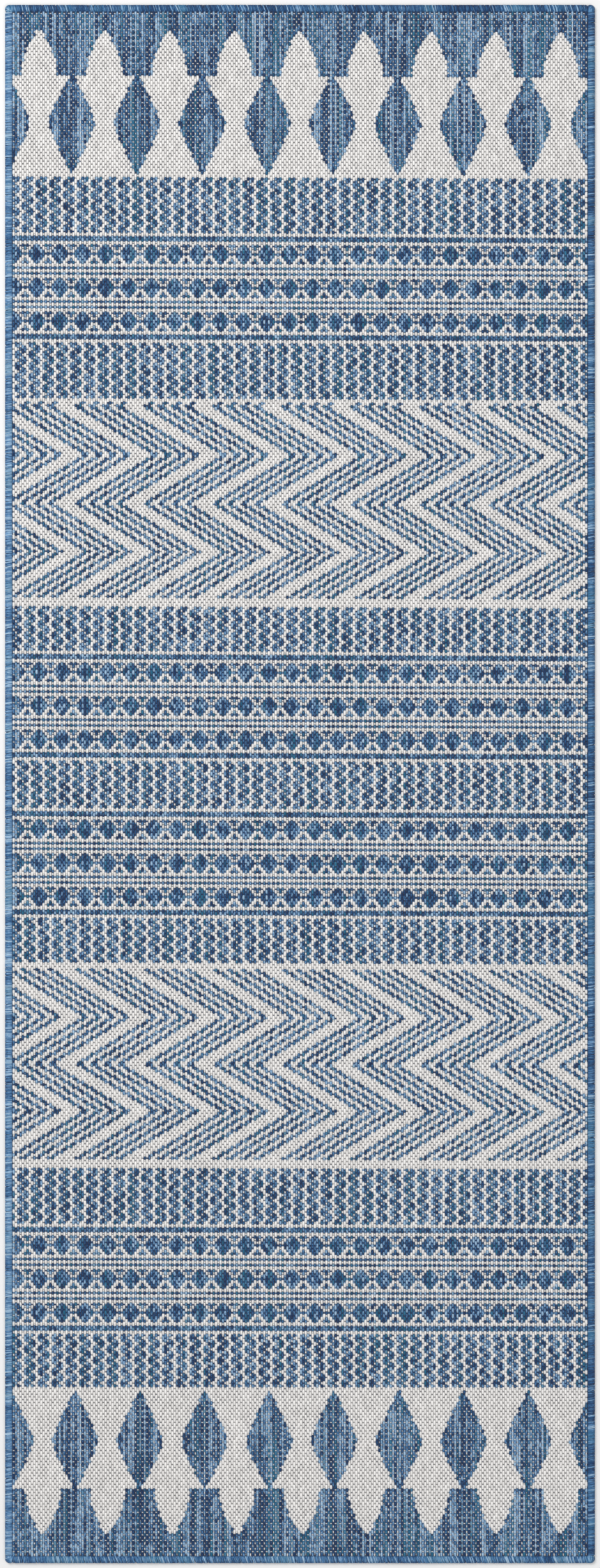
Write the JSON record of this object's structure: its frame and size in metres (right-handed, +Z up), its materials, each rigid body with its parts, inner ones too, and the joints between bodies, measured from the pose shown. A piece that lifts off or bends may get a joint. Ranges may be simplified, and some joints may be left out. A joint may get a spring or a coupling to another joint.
{
  "type": "runner rug",
  "caption": "Long flat-woven runner rug with a two-colour figured cloth and whipped edges all round.",
  "frame": {"origin": "centre of the underside, at floor level", "axes": "+Y along the rug's length towards its head, +X across it to the right, +Z up out of the face"},
  "size_m": [0.8, 2.115, 0.0047],
  "materials": {
    "face_yarn": "matt flat-woven cream and space-dyed blue yarn",
    "back_yarn": "matt flat-woven yarn, the face's colours changed over",
    "weft_yarn": "matt natural weft yarn",
    "cord": "matt twisted filler cord",
    "whipping_yarn": "space-dyed blue whipping yarn with a soft sheen"
  },
  "bodies": {
    "root": {"cloth_back_warps": "back_yarn", "cloth_weft_core": "weft_yarn", "cloth_face_warps": "face_yarn", "edge_cord_right": "cord", "edge_cord_left": "cord", "edge_cord_head": "cord", "edge_cord_foot": "cord", "whipping_head": "whipping_yarn", "whipping_foot": "whipping_yarn", "whipping_right": "whipping_yarn", "whipping_left": "whipping_yarn"}
  },
  "joints": []
}
